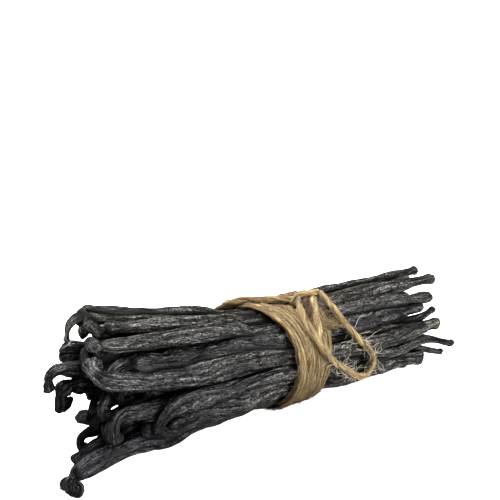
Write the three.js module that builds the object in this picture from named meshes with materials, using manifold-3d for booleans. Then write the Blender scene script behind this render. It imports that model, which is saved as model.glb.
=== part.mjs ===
// A bundle of fifty cured vanilla pods, tied round the middle with jute twine.
// Millimetres, +Z up. The bundle lies along X on the surface z = 0, its stalk ends,
// which curl, towards -X and its blunt tips towards +X. The origin is on that surface,
// under the middle of the bundle.

import * as THREE from "three";
import Module from "manifold-3d";

// ---- driving sizes ----
const PODS = 50;
const POD_HALF_WIDTH = 2.7;
const STALK_END = { from: -50, to: -64 }; // where along X a pod starts to curl
const TIP_END = { from: 64, to: 76 };
const TIE = new THREE.Vector3(9.5, 0, 23.3); // the middle of the winding
const TIE_HALF_WIDTH = 21.5; // the bundle inside the twine, along Y
const TIE_HALF_HEIGHT = 17.6; // and along Z
const TIE_REACH = 24; // how far along X the twine presses the pods together
const TIE_FLARE = 0.13; // how much wider the bundle is at that distance
const STALK_LENGTH = 87; // how far the stalk ends fan out, and by how much
const STALK_SPREAD = { width: 0.4, height: 0.68, rise: 5 };
const TIP_LENGTH = 68; // and the tips
const TIP_SPREAD = { width: 0.14, height: 0.19, rise: -1 };

const MIDDLE = new THREE.Vector3(-3.2, 2.35, 0); // of the whole bundle, put at the origin

const CORE = { from: -46, to: 60, share: 0.9 }; // its ends along X and share of the bundle's size
const TWINE_HALF_WIDTH = 1.05;
const WINDING = { from: -0.4, to: 5.98 }; // turns of twine, counted from the top of the bundle
const KNOT = { at: new THREE.Vector3(18, -4, 46), width: 1.25, height: 1.2, lean: 0.18 };
const GAP = 0.3; // between neighbouring solids

const POD_SIDES = 6;
const FULL = 1.05; // a six-sided pod is this much wider at its corners than a round one
const RINGS = { curled: 20, plain: 11 }; // along a pod
const CURLED = 50; // a curl of more degrees than this has the closer rings
const CROWDING = 0.7; // how much closer the rings lie towards the curled end, from 0 to 1
const CORE_SIDES = 16;
const CORE_RINGS = 9;
const TWINE_SIDES = 8;
const WINDING_STEPS = 18; // in each turn
const CHORD = { winding: 0.3, pod: 0.36 }; // how far their flat steps stray from the true curve
const KNOT_STEPS = 7; // in each third of the knot
const KNOT_OVERLAP = 0.06; // how far each third runs into the next, as a share of a third
const LOOP_STEPS = 36;
const SIMPLIFY = 0.3; // faces may move this far when needless ones are merged

// Pods whose curled stalk ends stand out: where the curl starts along X, the curl's
// direction seen along X and its turn (degrees), its radius, the straight end after it,
// how far the end is swayed along Y and Z, and how thick it is there.
const CURLS = new Map([
  [45, { x: -65.6, way: -154, turn: 133, radius: 2.1, tail: 9.3, sway: [0.1, 7.3], stalk: 0.8 }],
  [32, { x: -71.3, way: -90, turn: 99, radius: 4.5, tail: 3.8, sway: [-0.4, 7.4], stalk: 0.45 }],
  [40, { x: -60.5, way: -100, turn: 15, radius: 8, tail: 2, sway: [0, 4], stalk: 0.8 }],
  [48, { x: -70.4, way: 137, turn: 37, radius: 7.7, tail: 2, sway: [0, 2.1], stalk: 0.7 }],
  [35, { x: -58, way: -119, turn: 8, radius: 8.5, tail: 1.9, sway: [0.6, -0.8], stalk: 0.8 }],
  [11, { x: -63, way: -60, turn: 20, radius: 10, tail: 2, sway: [0, 0], stalk: 0.8 }],
  [8, { x: -75.3, way: -88, turn: 105, radius: 4.6, tail: 3.5, sway: [0.2, 4.3], stalk: 0.6 }],
  [43, { x: -68.8, way: 14, turn: 140, radius: 5.7, tail: 4.6, sway: [3.3, 6.9], stalk: 0.8 }],
  [13, { x: -65, way: -60, turn: 25, radius: 8, tail: 3, sway: [0, 2], stalk: 0.65 }],
  [18, { x: -72.7, way: -97, turn: 119, radius: 3.6, tail: 3.5, sway: [0.3, 8.6], stalk: 0.7 }],
  [7, { x: -66, way: 110, turn: 55, radius: 10, tail: 4, sway: [0, -5], stalk: 0.7 }],
  [31, { x: -70.1, way: -91, turn: 122, radius: 2.7, tail: 2.1, sway: [-5.3, -5.5], stalk: 0.6 }],
  [36, { x: -69.4, way: -70, turn: 37, radius: 8.4, tail: 5, sway: [-3.4, -0.7], stalk: 0.7 }],
  [41, { x: -37.6, way: -115, turn: 33, radius: 80, tail: 7.2, sway: [3.5, 6.6], stalk: 0.8 }],
  [46, { x: -38.8, way: -51, turn: 122, radius: 8.1, tail: 5.2, sway: [3, 6.3], stalk: 0.7 }],
  [38, { x: -45, way: -74, turn: 75, radius: 8.4, tail: 3.5, sway: [4, -3.3], stalk: 0.55 }],
  [30, { x: -46, way: 60, turn: 20, radius: 8, tail: 2, sway: [4, 0], stalk: 0.7 }],
  [33, { x: -52, way: 120, turn: 30, radius: 8, tail: 2, sway: [0, 2], stalk: 0.7 }],
  [25, { x: -65, way: -112, turn: 111, radius: 4.6, tail: 2.7, sway: [-0.7, 1.2], stalk: 0.7 }],
  [37, { x: -60.8, way: -117, turn: 141, radius: 2.1, tail: 1, sway: [2.3, 1.3], stalk: 0.6 }],
  [47, { x: -60, way: -70, turn: 110, radius: 4, tail: 1, sway: [0, 0], stalk: 0.6 }],
  [17, { x: -48, way: 60, turn: 40, radius: 8, tail: 2, sway: [4, 3], stalk: 0.7 }],
  [49, { x: -48, way: 90, turn: 30, radius: 8, tail: 2, sway: [4, 2], stalk: 0.7 }],
  [29, { x: -61.2, way: 0, turn: 45, radius: 10.4, tail: 3, sway: [-2.3, -3], stalk: 0.95 }],
  [28, { x: -50, way: 120, turn: 30, radius: 8, tail: 2, sway: [4, 3], stalk: 0.7 }],
]);
// Pods whose tips stand out: where they end along X and how far that end is swayed along Z.
const TIPS = new Map([
  [45, { x: 82.5, sway: 0 }],
  [40, { x: 81.5, sway: 0 }],
  [32, { x: 73.5, sway: 3 }],
  [48, { x: 74, sway: -2 }],
  [35, { x: 69.5, sway: 0 }],
  [43, { x: 65, sway: 0 }],
  [22, { x: 75, sway: -3 }],
  [30, { x: 75, sway: -1 }],
  [38, { x: 80, sway: -5 }],
  [46, { x: 65, sway: -4 }],
  [33, { x: 78.5, sway: -2 }],
  [36, { x: 72, sway: -7.5 }],
  [44, { x: 71, sway: -8 }],
  [31, { x: 73, sway: -11 }],
]);
// The bow's loop: out of the knot, down over the front and back up across the winding.
const BOW_LOOP = [
  [22.9, -4.4, 45.2], [23.8, -7.9, 43.7], [24.2, -11.2, 41.5], [24.8, -14.7, 39.1], [25.7, -18.1, 36.6],
  [27, -21.1, 33.7], [28.55, -23.1, 30.95], [30.4, -24.1, 28.9], [32.8, -24.7, 26.4], [34.8, -24.4, 22.8],
  [35, -23.8, 18.9], [32.9, -23.3, 15.6], [29.1, -23.5, 15.4], [25.8, -23.2, 17.9], [22.3, -23.2, 20.9],
  [18.9, -24.3, 23.2], [15.4, -25.4, 26.1], [12.7, -24.7, 29.4], [10.8, -23.1, 32.7], [9.7, -20.8, 35.8],
  [9.2, -18.1, 38.5], [9.3, -14.9, 40.9], [10.1, -11.3, 42.8], [11.4, -7.9, 44.3], [13.1, -5.3, 45.2],
];
const FAT = new Map([[43, 1.12], [35, 1.12], [41, 1.12], [46, 1.2], [40, 1.08]]); // the thickest pods
const MOVED = new Map([[43, -3.6], [35, -1.8]]); // how far up some pods lie from their place at the tie

const SETTLE_POINTS = 48; // points along each pod while the pods settle
const SETTLE_ROUNDS = 60;
const TOUCH = 0.96; // pods are soft: they may press this much into each other
const SINK = 0.76; // and flatten this much on what they lie on
const CURL_STEPS = 40;
const BODY_STEPS = 160;
const GOLDEN_ANGLE = Math.PI * (3 - Math.sqrt(5));
const radians = THREE.MathUtils.degToRad;

// ---- differences between pods ----
// A repeatable draw from 0 to 1 for one trait of one pod.
function draw(pod, trait) {
  const v = Math.sin(pod * 12.9898 + trait * 78.233) * 43758.5453;
  return v - Math.floor(v);
}
const between = (pod, trait, low, high) => low + (high - low) * draw(pod, trait);

// A pod's half width at share u of its length, from the stalk's end to the tip.
function podRadius(pod, u) {
  const stalk = CURLS.get(pod)?.stalk ?? between(pod, 10, 0.5, 0.75);
  const fat = FAT.get(pod) ?? between(pod, 1, 0.86, 1.1);
  const thin = stalk + (1 - stalk) * Math.min(1, u / 0.18);
  const tip = u < 0.8 ? 1 : 1 - 0.42 * ((u - 0.8) / 0.2) ** 1.3;
  const belly = 1 + 0.1 * Math.sin(Math.PI * Math.min(1, u / 0.62));
  const uneven = 1 + 0.05 * Math.sin(2 * Math.PI * (u * between(pod, 11, 3, 6) + draw(pod, 12)));
  return POD_HALF_WIDTH * fat * thin * tip * belly * uneven;
}

// ---- the bundle's form along X ----
// How far the bundle has fanned out at x, against the tie.
function fan(x) {
  const l = Math.max(0, (TIE.x - x) / STALK_LENGTH);
  const r = Math.max(0, (x - TIE.x) / TIP_LENGTH);
  return {
    l,
    r,
    width: 1 + STALK_SPREAD.width * l ** 1.4 + TIP_SPREAD.width * r ** 1.3,
    height: 1 + STALK_SPREAD.height * l ** 1.4 + TIP_SPREAD.height * r ** 1.3,
    rise: STALK_SPREAD.rise * l ** 1.4 + TIP_SPREAD.rise * r,
  };
}
// How much wider than at the tie the twine lets the bundle be at x.
const flare = (x) => 1 + TIE_FLARE * ((x - TIE.x) / TIE_REACH) ** 2;

// ---- routes of the pods ----
// Where a pod would lie by itself: in its place in the bundle, fanned out from the tie.
function looseRoute(pod) {
  const out = Math.sqrt((pod + 0.6) / (PODS + 0.2));
  const angle = pod * GOLDEN_ANGLE;
  const radius = podRadius(pod, 0.5);
  const across = (TIE_HALF_WIDTH - radius) * out * Math.cos(angle);
  const up = (TIE_HALF_HEIGHT - radius) * out * Math.sin(angle) + (MOVED.get(pod) ?? 0);
  const curl = CURLS.get(pod) ?? {
    x: between(pod, 2, STALK_END.from, STALK_END.to),
    way: between(pod, 4, -160, -20),
    turn: between(pod, 5, 60, 200),
    radius: between(pod, 6, 3.5, 6.5),
    tail: 1.5,
    sway: [0, 0],
  };
  const tip = TIPS.get(pod) ?? { x: between(pod, 3, TIP_END.from, TIP_END.to), sway: 0 };
  const wave = between(pod, 7, 0.3, 1.3);
  const phase = draw(pod, 8);
  const waveLength = between(pod, 9, 55, 95);
  const along = (x) => {
    const { l, r, width, height, rise } = fan(x);
    const bend = wave * Math.min(1, 3 * (l + r));
    const turn = 2 * Math.PI * (x / waveLength);
    return new THREE.Vector3(
      x,
      TIE.y + across * width + curl.sway[0] * l * l + bend * Math.cos(turn + 2 * Math.PI * phase),
      TIE.z + rise + up * height + curl.sway[1] * l * l + tip.sway * r * r +
        bend * Math.sin(turn + 3.4 * Math.PI * phase),
    );
  };

  // The curl is an arc in the plane of the pod's direction and the way it curls.
  const start = along(curl.x);
  const heading = start.clone().sub(along(curl.x + 1)).normalize();
  const way = new THREE.Vector3(0, Math.cos(radians(curl.way)), Math.sin(radians(curl.way)));
  way.addScaledVector(heading, -way.dot(heading)).normalize();
  const turn = radians(curl.turn);
  const onArc = (a) => start.clone()
    .addScaledVector(heading, curl.radius * Math.sin(a))
    .addScaledVector(way, curl.radius * (1 - Math.cos(a)));
  const route = [
    onArc(turn).addScaledVector(heading, curl.tail * Math.cos(turn))
      .addScaledVector(way, curl.tail * Math.sin(turn)),
  ];
  for (let k = CURL_STEPS; k > 0; k--) route.push(onArc((turn * k) / CURL_STEPS));
  for (let k = 0; k <= BODY_STEPS; k++) route.push(along(curl.x + ((tip.x - curl.x) * k) / BODY_STEPS));
  return route;
}

// Points on a polyline at rising shares of its length.
function pointsAt(line, shares) {
  const reached = [0];
  for (let k = 1; k < line.length; k++) reached.push(reached[k - 1] + line[k].distanceTo(line[k - 1]));
  let k = 0;
  return shares.map((share) => {
    const want = reached.at(-1) * share;
    while (k < line.length - 2 && reached[k + 1] < want) k++;
    return line[k].clone().lerp(line[k + 1], (want - reached[k]) / (reached[k + 1] - reached[k]));
  });
}
const shares = (count) => Array.from({ length: count }, (_, k) => k / (count - 1));

// How far the pods shift along their length as they push each other apart, inside the
// twine and above the surface they lie on. A pod keeps its curls: its shift is smooth.
function settle(loose, radii) {
  const count = loose.length * SETTLE_POINTS;
  const pod = (i) => Math.floor(i / SETTLE_POINTS);
  const rest = loose.flat();
  const size = radii.flat();
  const shift = rest.map(() => new THREE.Vector3());
  for (let round = 0; round < SETTLE_ROUNDS; round++) {
    const at = rest.map((p, i) => p.clone().add(shift[i]));
    const push = at.map(() => new THREE.Vector3());
    const touches = new Array(count).fill(0);
    const order = at.map((_, i) => i).sort((a, b) => at[a].x - at[b].x);
    for (let a = 0; a < count; a++) {
      const i = order[a];
      for (let b = a + 1; b < count && at[order[b]].x - at[i].x < 2.8 * POD_HALF_WIDTH; b++) {
        const j = order[b];
        if (pod(i) === pod(j)) continue;
        const away = at[j].clone().sub(at[i]);
        const apart = away.length() + 1e-9;
        const short = (size[i] + size[j]) * TOUCH - apart;
        if (short <= 0) continue;
        away.multiplyScalar((0.5 * short) / apart);
        push[i].sub(away);
        push[j].add(away);
        touches[i]++;
        touches[j]++;
      }
    }
    shift.forEach((s, i) => s.addScaledVector(push[i], 1.3 / Math.max(1, touches[i])));
    const before = shift.map((s) => s.clone());
    shift.forEach((s, i) => {
      const k = i % SETTLE_POINTS;
      const back = before[k === 0 ? i + 1 : i - 1];
      const ahead = before[k === SETTLE_POINTS - 1 ? i - 1 : i + 1];
      s.multiplyScalar(0.5).addScaledVector(back, 0.25).addScaledVector(ahead, 0.25);
    });
    shift.forEach((s, i) => {
      const p = rest[i].clone().add(s);
      if (Math.abs(p.x - TIE.x) < TIE_REACH) {
        const edge = FULL * size[i] + CHORD.pod;
        const y = (p.y - TIE.y) / (TIE_HALF_WIDTH * flare(p.x) - edge);
        const z = (p.z - TIE.z) / (TIE_HALF_HEIGHT * flare(p.x) - edge);
        const out = Math.max(1, Math.hypot(y, z));
        p.y = TIE.y + (p.y - TIE.y) / out;
        p.z = TIE.z + (p.z - TIE.z) / out;
      }
      p.z = Math.max(p.z, SINK * size[i]);
      s.copy(p).sub(rest[i]);
    });
  }
  return loose.map((_, n) => shift.slice(n * SETTLE_POINTS, (n + 1) * SETTLE_POINTS));
}

const podNumbers = Array.from({ length: PODS }, (_, pod) => pod);
const looseRoutes = podNumbers.map(looseRoute);
const shifts = settle(
  looseRoutes.map((route) => pointsAt(route, shares(SETTLE_POINTS))),
  podNumbers.map((pod) => shares(SETTLE_POINTS).map((u) => podRadius(pod, u))),
);
// The settled pod's middle line at rising shares of its length.
function podLine(pod, at) {
  const shifted = at.map((u) => {
    const k = Math.min(SETTLE_POINTS - 2, Math.floor(u * (SETTLE_POINTS - 1)));
    return shifts[pod][k].clone().lerp(shifts[pod][k + 1], u * (SETTLE_POINTS - 1) - k);
  });
  return pointsAt(looseRoutes[pod], at).map((p, n) => p.add(shifted[n]));
}

// ---- solids ----
const kernel = await Module();
kernel.setup();
const { Manifold, Mesh: SolidMesh } = kernel;

// A closed solid from rings of points in order, each ring turning the same way.
function skin(rings) {
  const sides = rings[0].length;
  const points = rings.flat();
  const faces = [];
  for (let r = 0; r < rings.length - 1; r++) {
    for (let s = 0; s < sides; s++) {
      const a = r * sides + s;
      const b = r * sides + ((s + 1) % sides);
      faces.push([a, b, b + sides], [a, b + sides, a + sides]);
    }
  }
  const last = (rings.length - 1) * sides;
  for (let s = 1; s < sides - 1; s++) {
    faces.push([0, s + 1, s], [last, last + s, last + s + 1]);
  }
  return new Manifold(new SolidMesh({
    numProp: 3,
    vertProperties: new Float32Array(points.flatMap((p) => [p.x, p.y, p.z])),
    triVerts: new Uint32Array(faces.flat()),
  }));
}

// Rings round a line, with no twist from one to the next. size(k) is ring k's half width.
function ringsAlong(line, size, sides) {
  let side = null;
  return line.map((p, k) => {
    const ahead = line[Math.min(k + 1, line.length - 1)];
    const back = line[Math.max(k - 1, 0)];
    const heading = ahead.clone().sub(back).normalize();
    side = side ?? new THREE.Vector3(0, 0, 1).cross(heading);
    side = side.clone().addScaledVector(heading, -side.dot(heading)).normalize();
    const other = heading.clone().cross(side);
    return Array.from({ length: sides }, (_, s) => {
      const a = (2 * Math.PI * s) / sides;
      return p.clone()
        .addScaledVector(side, size(k) * Math.cos(a))
        .addScaledVector(other, size(k) * Math.sin(a));
    });
  });
}

// ---- the pods, fused over a core ----
// A pod's rings lie closer towards its curled end, where it bends most.
function podSolid(pod) {
  const rings = CURLS.get(pod)?.turn > CURLED ? RINGS.curled : RINGS.plain;
  const at = shares(rings).map((t) => t * (1 - CROWDING + CROWDING * t));
  const line = podLine(pod, at).map((p) => p.sub(MIDDLE));
  return skin(ringsAlong(line, (k) => FULL * podRadius(pod, at[k]), POD_SIDES));
}

// The core fills the bundle up to just under its outermost pods.
function coreSolid() {
  const rings = shares(CORE_RINGS).map((t) => {
    const x = CORE.from + (CORE.to - CORE.from) * t;
    const { width, height, rise } = fan(x);
    const depth = CORE.share * Math.sqrt(1 - 0.5 * (2 * t - 1) ** 6);
    return Array.from({ length: CORE_SIDES }, (_, s) => {
      const a = (2 * Math.PI * s) / CORE_SIDES;
      return new THREE.Vector3(
        x,
        TIE.y + depth * TIE_HALF_WIDTH * width * Math.cos(a),
        TIE.z + rise + depth * TIE_HALF_HEIGHT * height * Math.sin(a),
      ).sub(MIDDLE);
    });
  });
  return skin(rings);
}

// The largest of the pieces that a solid falls into. Hollows sealed inside it are filled.
function largest(solid) {
  return solid.decompose().reduce((a, b) => (a.volume() > b.volume() ? a : b));
}

function pods() {
  const heap = Manifold.union([coreSolid(), ...podNumbers.map(podSolid)]);
  return largest(heap.trimByPlane([0, 0, 1], 0).simplify(SIMPLIFY));
}

// ---- the twine ----
// The winding's middle line after a number of turns: down the front, under, up the back.
// The turns lie close together at the front and spread over the top.
function windingPoint(turn) {
  const a = Math.PI / 2 - 2 * Math.PI * turn;
  const middle = 5.3 + 4 * Math.cos(a) + 3.6 * Math.sin(a) - Math.cos(2 * a);
  const pitch = 3.1 - 0.6 * Math.cos(a) + 0.35 * Math.sin(a) - 0.3 * Math.cos(2 * a);
  const x = middle + (turn - 2.75) * pitch;
  const off = GAP + CHORD.winding + TWINE_HALF_WIDTH;
  return new THREE.Vector3(
    x,
    TIE.y - (TIE_HALF_WIDTH * flare(x) + off) * Math.cos(a),
    TIE.z + (TIE_HALF_HEIGHT * flare(x) + off) * Math.sin(a),
  ).sub(MIDDLE);
}

function winding() {
  const steps = Math.round((WINDING.to - WINDING.from) * WINDING_STEPS);
  const line = shares(steps + 1).map((t) => windingPoint(WINDING.from + (WINDING.to - WINDING.from) * t));
  return skin(ringsAlong(line, () => TWINE_HALF_WIDTH, TWINE_SIDES));
}

// A trefoil of twine, in overlapping stretches so that it can be fused to one solid.
function knot() {
  const flat = new THREE.Matrix4().makeRotationX(KNOT.lean).setPosition(KNOT.at.clone().sub(MIDDLE));
  const point = (a) => new THREE.Vector3(
    KNOT.width * (Math.sin(a) + 2 * Math.sin(2 * a)),
    KNOT.width * (Math.cos(a) - 2 * Math.cos(2 * a)),
    -KNOT.height * Math.sin(3 * a),
  ).applyMatrix4(flat);
  const third = (2 * Math.PI) / 3;
  const stretches = [0, 1, 2].map((n) => {
    const length = 1 + 2 * KNOT_OVERLAP;
    const line = shares(KNOT_STEPS).map((t) => point(third * (n - KNOT_OVERLAP + length * t)));
    return skin(ringsAlong(line, () => TWINE_HALF_WIDTH, TWINE_SIDES));
  });
  return Manifold.union(stretches);
}

// The bow's loop, a cubic B-spline over its hand-laid points.
function loopLine() {
  const points = BOW_LOOP.map(([x, y, z]) => new THREE.Vector3(x, y, z).sub(MIDDLE));
  const before = points[0].clone().multiplyScalar(2).sub(points[1]);
  const after = points.at(-1).clone().multiplyScalar(2).sub(points.at(-2));
  const all = [before, ...points, after];
  const line = [];
  for (let k = 0; k < all.length - 3; k++) {
    for (let n = 0; n < 4; n++) {
      const t = n / 4;
      const weights = [(1 - t) ** 3, 3 * t ** 3 - 6 * t * t + 4, 3 * (t + t * t - t ** 3) + 1, t ** 3];
      const p = new THREE.Vector3();
      weights.forEach((w, j) => p.addScaledVector(all[k + j], w / 6));
      line.push(p);
    }
  }
  line.push(points.at(-1));
  return line;
}

function bowLoop() {
  const section = new THREE.Shape(Array.from({ length: TWINE_SIDES }, (_, s) => {
    const a = (2 * Math.PI * s) / TWINE_SIDES;
    return new THREE.Vector2(TWINE_HALF_WIDTH * Math.cos(a), TWINE_HALF_WIDTH * Math.sin(a));
  }));
  return new THREE.ExtrudeGeometry(section, {
    extrudePath: new THREE.CatmullRomCurve3(loopLine()),
    steps: LOOP_STEPS,
    bevelEnabled: false,
  });
}

// ---- the bundle ----
// A solid as three.js geometry, flat shaded.
function geometryOf(solid) {
  const { vertProperties, triVerts } = solid.getMesh();
  const geometry = new THREE.BufferGeometry();
  geometry.setAttribute("position", new THREE.BufferAttribute(vertProperties, 3));
  geometry.setIndex(new THREE.BufferAttribute(triVerts, 1));
  geometry.computeVertexNormals();
  return geometry;
}

const group = new THREE.Group();
function add(name, geometry, material) {
  const mesh = new THREE.Mesh(geometry, new THREE.MeshStandardMaterial(material));
  mesh.name = name;
  group.add(mesh);
}
const podSkin = { color: 0x2b2622, roughness: 0.5, metalness: 0 };
const jute = { color: 0xb08a4f, roughness: 0.95, metalness: 0 };
add("pods", geometryOf(pods()), podSkin);
add("twine_wraps", geometryOf(winding()), jute);
add("twine_knot", geometryOf(knot()), jute);
add("twine_loop", bowLoop(), jute);

export default group;
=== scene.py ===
"""A tied bundle of fifty cured vanilla pods, dressed for its render. Metres, +Z up.

The bundle lies along X on the surface z = 0, its curled stalk ends towards -X and its blunt
tips towards +X. Jute twine is wound round it and tied on top in a bow with one loop.
"""

import math

import bpy
import numpy as np
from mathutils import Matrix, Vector


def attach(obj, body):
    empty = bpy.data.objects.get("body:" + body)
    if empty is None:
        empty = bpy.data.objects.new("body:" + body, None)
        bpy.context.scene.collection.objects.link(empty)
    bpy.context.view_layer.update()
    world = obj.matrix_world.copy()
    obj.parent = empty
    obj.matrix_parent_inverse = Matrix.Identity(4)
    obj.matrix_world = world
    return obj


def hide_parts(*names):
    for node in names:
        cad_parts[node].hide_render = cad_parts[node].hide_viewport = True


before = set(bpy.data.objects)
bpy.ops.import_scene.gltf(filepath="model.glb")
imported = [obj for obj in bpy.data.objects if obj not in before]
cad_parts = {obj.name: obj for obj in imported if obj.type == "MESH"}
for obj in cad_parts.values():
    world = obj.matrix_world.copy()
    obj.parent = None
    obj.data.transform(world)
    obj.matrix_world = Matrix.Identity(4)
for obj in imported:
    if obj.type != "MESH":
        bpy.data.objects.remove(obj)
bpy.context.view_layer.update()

# ---- the camera ----
CAMERA_TURN = math.radians(-33)
CAMERA_HEIGHT = math.radians(25)
CAMERA_DISTANCE = 0.42
SENSOR_WIDTH = 36
PICTURE = 500  # pixels across
CAMERA_FOCUS = 1107  # pixels
AIMED_AT = Vector((0.0032, -0.00235, 0.022))
AIMED_PIXEL = (261, 357)  # where that point lies in the picture


def in_scene(name, data):
    """A new object that holds a mesh, a lamp or a camera."""
    made = bpy.data.objects.new(name, data)
    bpy.context.scene.collection.objects.link(made)
    return made


def make_camera():
    """The camera stands left of the front and above it, and looks level past the bundle."""
    turn, height = CAMERA_TURN, CAMERA_HEIGHT
    back = Vector((
        math.sin(turn) * math.cos(height),
        -math.cos(turn) * math.cos(height),
        math.sin(height),
    ))
    right = Vector((math.cos(turn), math.sin(turn), 0))
    up = right.cross(-back)
    sideways = math.atan((AIMED_PIXEL[0] - PICTURE / 2) / CAMERA_FOCUS)
    downwards = math.atan((AIMED_PIXEL[1] - PICTURE / 2) / CAMERA_FOCUS)
    look = math.cos(downwards) * -back + math.sin(downwards) * up
    look = math.cos(sideways) * look - math.sin(sideways) * right
    data = bpy.data.cameras.new("camera")
    data.sensor_width = SENSOR_WIDTH
    data.lens = SENSOR_WIDTH * CAMERA_FOCUS / PICTURE
    data.clip_start = 0.01
    camera = in_scene("camera", data)
    camera.location = AIMED_AT + back * CAMERA_DISTANCE
    camera.rotation_euler = look.to_track_quat("-Z", "Y").to_euler()
    bpy.context.scene.camera = camera


# ---- sizes shared with the part ----
PODS = 50
POD_HALF_WIDTH = 0.0027
STALK_END = (-0.050, -0.064)  # where along X a pod starts to curl
TIP_END = (0.064, 0.076)
TIE = np.array([0.0095, 0, 0.0233])  # the middle of the winding
TIE_HALF_WIDTH = 0.0215  # the bundle inside the twine, along Y
TIE_HALF_HEIGHT = 0.0176  # and along Z
TIE_REACH = 0.024  # how far along X the twine presses the pods together
TIE_FLARE = 0.13  # how much wider the bundle is at that distance
STALK_LENGTH = 0.087  # how far the stalk ends fan out, and by how much
STALK_SPREAD = {"width": 0.4, "height": 0.68, "rise": 0.005}
TIP_LENGTH = 0.068  # and the tips
TIP_SPREAD = {"width": 0.14, "height": 0.19, "rise": -0.001}
MIDDLE = np.array([-0.0032, 0.00235, 0])  # of the whole bundle, put at the origin
TWINE_HALF_WIDTH = 0.00105
WINDING = (-0.4, 5.98)  # turns of twine, counted from the top of the bundle
TWINE_OFF = 0.00165  # from the pods' oval to the middle of the twine
FULL = 1.05  # how far a pod's middle keeps from the twine, as a share of its half width,
CHORD = 0.00036  # and how much more
SETTLE_POINTS = 48  # on each pod, as the pods push each other apart
SETTLE_ROUNDS = 60
SETTLE_PUSH = 1.3
PAIRS_EVERY = 12  # rounds between searches for the pods that may touch
TOUCH = 0.96  # how near two pods' middles may lie, as a share of their half widths,
SINK = 0.76  # and how near one may lie to the surface under it
CURL_STEPS = 40
BODY_STEPS = 160
LINE_POINTS = 500  # on a settled pod's middle line,
CURLED_POINTS = 60  # the first of which may lie in its curl
GOLDEN_ANGLE = math.pi * (3 - math.sqrt(5))

# Tables of single pods give sizes in millimetres.
# Pods whose curled stalk ends stand out: the curl's direction seen along X and its turn
# (degrees), how thick the pod is there as a share of its own width, and then where the curl
# starts along X, its radius, the straight end after it, and how far the end is swayed along
# Y and Z.
CURLS = {
    45: (-154, 133, 0.8, (-65.6, 2.1, 9.3, 0.1, 7.3)),
    32: (-90, 99, 0.45, (-71.3, 4.5, 3.8, -0.4, 7.4)),
    40: (-100, 15, 0.8, (-60.5, 8, 2, 0, 4)),
    48: (137, 37, 0.7, (-70.4, 7.7, 2, 0, 2.1)),
    35: (-119, 8, 0.8, (-58, 8.5, 1.9, 0.6, -0.8)),
    11: (-60, 20, 0.8, (-63, 10, 2, 0, 0)),
    8: (-88, 105, 0.6, (-75.3, 4.6, 3.5, 0.2, 4.3)),
    43: (14, 126, 0.8, (-68.8, 5.4, 2.4, 3.3, 6.9)),
    13: (-60, 25, 0.65, (-65, 8, 3, 0, 2)),
    18: (-97, 119, 0.7, (-72.7, 3.6, 3.5, 0.3, 8.6)),
    7: (110, 55, 0.7, (-66, 10, 4, 0, -5)),
    31: (-91, 122, 0.6, (-70.1, 2.7, 2.1, -5.3, -5.5)),
    36: (-70, 37, 0.7, (-69.4, 8.4, 5, -3.4, -0.7)),
    41: (-115, 33, 0.8, (-37.6, 80, 7.2, 3.5, 6.6)),
    46: (-51, 122, 0.7, (-38.8, 8.1, 5.2, 3, 6.3)),
    38: (-74, 75, 0.55, (-45, 8.4, 3.5, 4, -3.3)),
    30: (60, 20, 0.7, (-46, 8, 2, 4, 0)),
    33: (120, 30, 0.7, (-52, 8, 2, 0, 2)),
    25: (-112, 111, 0.7, (-65, 4.6, 2.7, -0.7, 1.2)),
    37: (-117, 141, 0.6, (-60.8, 2.1, 1, 2.3, 1.3)),
    47: (-70, 110, 0.6, (-60, 4, 1, 0, 0)),
    17: (60, 40, 0.7, (-48, 8, 2, 4, 3)),
    49: (90, 30, 0.7, (-48, 8, 2, 4, 2)),
    29: (0, 45, 1.25, (-61.2, 10.4, 3, -2.3, -3)),
    28: (120, 30, 0.7, (-50, 8, 2, 4, 3)),
}
# Pods whose tips stand out: where they end along X, and how far that end is swayed along Z.
TIPS = {
    45: (82.5, 0), 40: (81.5, 0), 32: (73.5, 3), 48: (74, -2), 35: (69.5, 0), 43: (65, 0),
    22: (75, -3), 30: (75, -1), 38: (80, -5), 46: (65, -4), 33: (78.5, -2), 36: (72, -7.5),
    44: (71, -8), 31: (73, -11),
}
FAT = {43: 1.12, 35: 1.12, 41: 1.12, 46: 1.2, 40: 1.08}  # the thickest pods
MOVED = {43: -3.6, 35: -1.8}  # how far up some pods lie from their place at the tie
# Lumps and necks on pods whose ends stand out: how far from the end, their reach, and the
# share of the half width that they add.
STALK_LUMPS = {
    41: [(2.4, 2, 0.4), (6.4, 1.4, -0.45), (15, 7, 0.3)], 48: [(2.2, 1.9, 0.5), (6.2, 1.8, -0.3)],
    35: [(3, 3, 0.25), (12, 2.5, -0.25), (20, 5, 0.2)], 38: [(1.5, 1.2, 0.2), (18, 7, 0.45)],
    29: [(3, 3, 0.4), (9, 6, 0.3)], 8: [(0.8, 1, 0.2), (6, 3, -0.1), (16, 6, 0.3)],
    32: [(0.5, 0.7, 0.3), (3, 2, -0.2), (12, 4, 0.25)],
    18: [(2.2, 1.6, 0.4), (5.5, 1, -0.2), (8.2, 1.4, 0.3), (11.5, 1, -0.15), (14.5, 1.5, 0.25)],
    36: [(1.5, 1.5, 0.3), (5.5, 1.6, -0.2)], 45: [(2, 2, -0.2), (11.8, 3.5, -0.3)],
}
TIP_LUMPS = {
    48: [(4.5, 3.5, 0.3), (11, 3, -0.2)], 45: [(1, 1.2, 0.35), (6, 3, -0.1)],
    38: [(0.8, 1, 0.2), (8, 8, -0.35)], 33: [(0.8, 1, 0.2), (7, 8, -0.35)],
    22: [(0.8, 1, 0.2), (5, 6, -0.3)],
}
# Tips that bend up or arch over the pods beside them: over what length, how far the end
# rises, and how far the middle of that length does.
TIP_BENDS = {22: (13, 4, 0), 38: (34, 0, 2.8), 33: (30, 0, 2.2)}
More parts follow.
